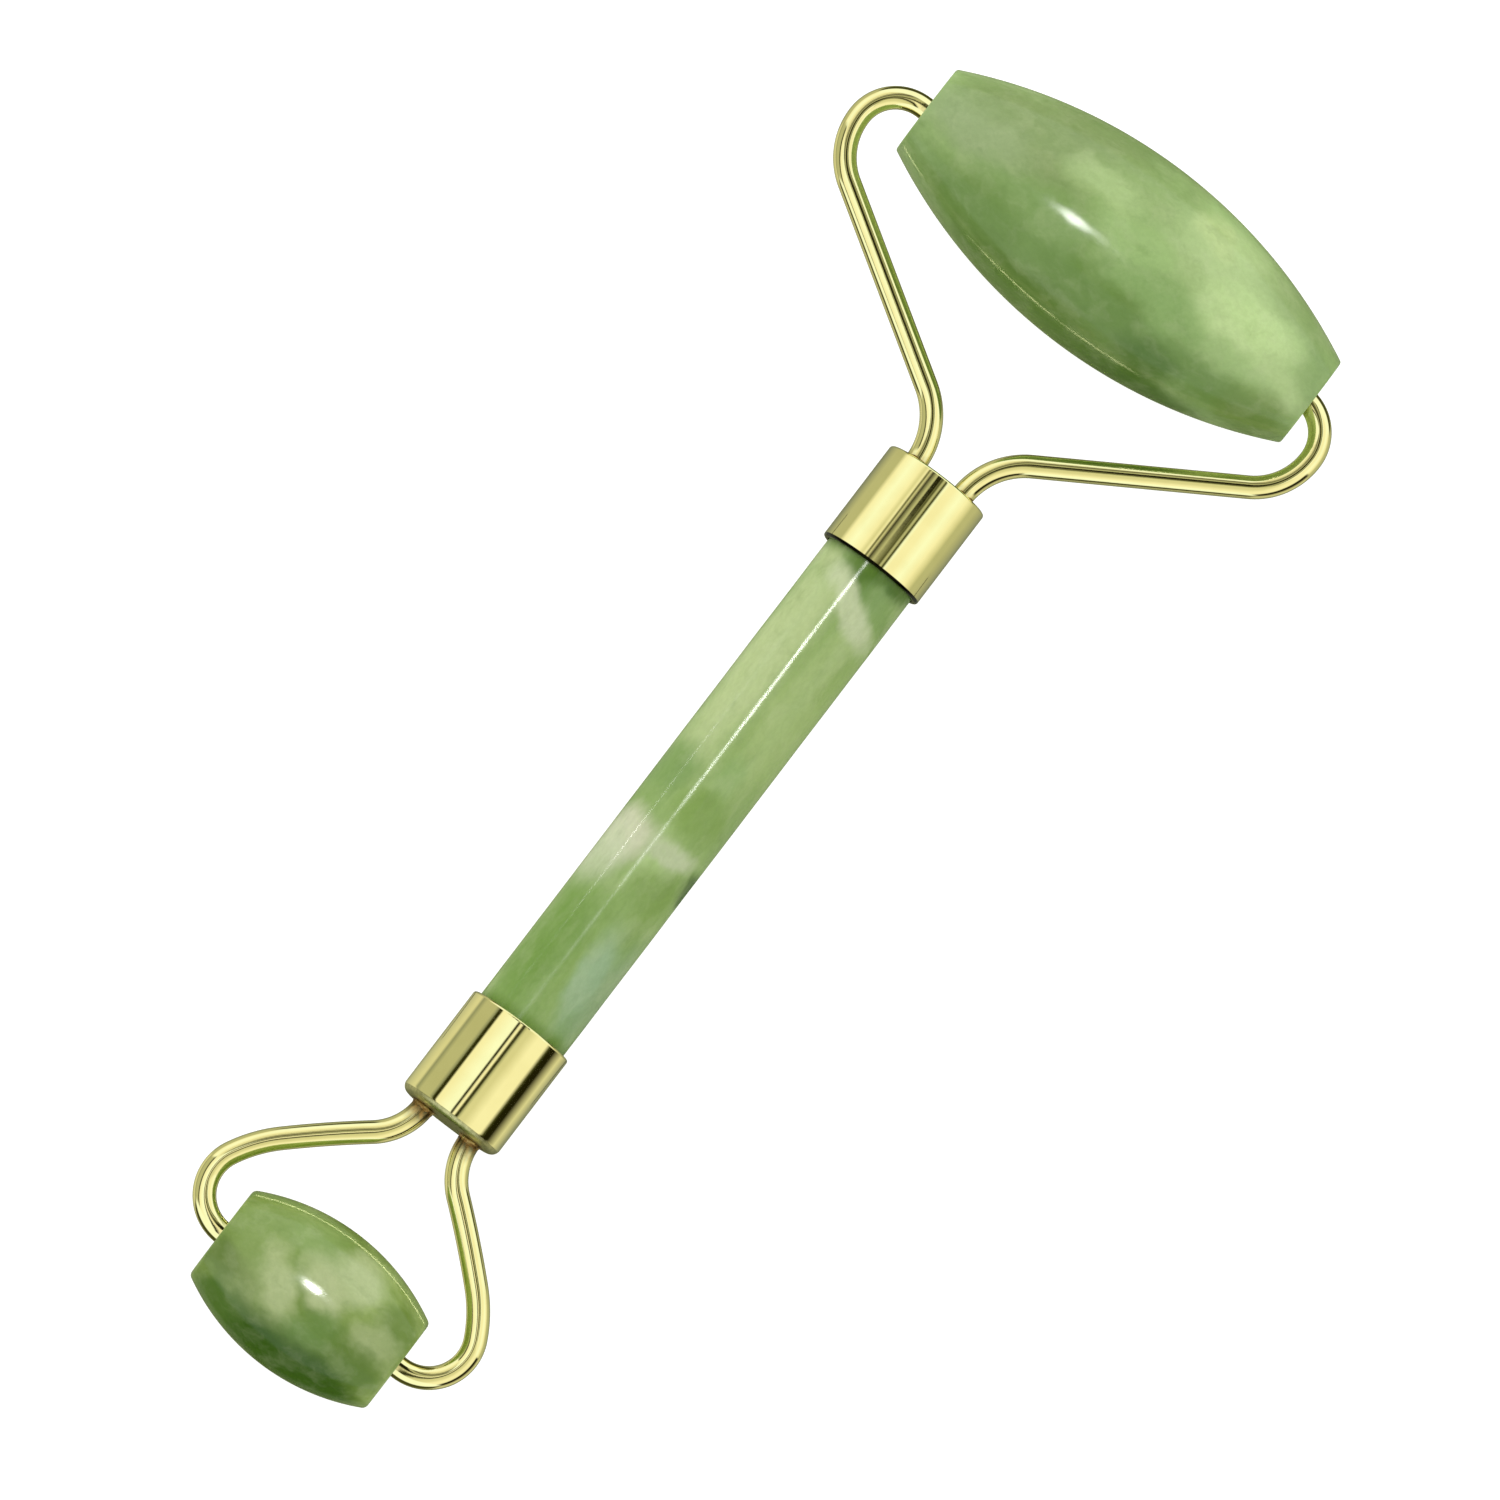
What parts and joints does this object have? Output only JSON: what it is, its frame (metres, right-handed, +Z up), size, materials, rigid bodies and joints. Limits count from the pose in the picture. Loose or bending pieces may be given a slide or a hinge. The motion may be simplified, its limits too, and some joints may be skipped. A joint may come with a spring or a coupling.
{
  "type": "jade face roller",
  "caption": "Double-ended face roller: a round jade handle with a gold wire fork at each end, each carrying a barrel-shaped jade stone that spins on the fork's pins.",
  "frame": {"origin": "on the table under the middle of the tool's length, half way between the tips of its two stones and on the handle's centre plane", "axes": "+X along the handle towards the large stone, +Y along the stones' spin axes, +Z up from the table that the two stones rest on"},
  "size_m": [0.145, 0.0568, 0.0205],
  "materials": {
    "handle_jade": "polished",
    "large_stone_jade": "polished",
    "small_stone_jade": "polished",
    "ferrule_gold": "polished",
    "wire_gold": "polished",
    "braze": "satin",
    "epoxy": "satin",
    "nylon": "satin"
  },
  "bodies": {
    "frame": {"handle_rod": "handle_jade", "large_end_ferrule": "ferrule_gold", "large_end_adhesive": "epoxy", "large_fork_left_arm": "wire_gold", "large_fork_right_arm": "wire_gold", "large_fork_left_braze": "braze", "large_fork_right_braze": "braze", "small_end_ferrule": "ferrule_gold", "small_end_adhesive": "epoxy", "small_fork_left_arm": "wire_gold", "small_fork_right_arm": "wire_gold", "small_fork_left_braze": "braze", "small_fork_right_braze": "braze"},
    "large_roller": {"large_roller_stone": "large_stone_jade", "large_roller_left_bushing": "nylon", "large_roller_right_bushing": "nylon"},
    "small_roller": {"small_roller_stone": "small_stone_jade", "small_roller_left_bushing": "nylon", "small_roller_right_bushing": "nylon"}
  },
  "joints": [
    {"name": "large_roller_spin", "type": "hinge", "parent": "frame", "child": "large_roller", "pos_m": [0.06227, -0.00072, 0.01025], "axis": [0, 1, 0], "continuous": true},
    {"name": "small_roller_spin", "type": "hinge", "parent": "frame", "child": "small_roller", "pos_m": [-0.06477, 0.00024, 0.00775], "axis": [0, 1, 0], "continuous": true}
  ]
}
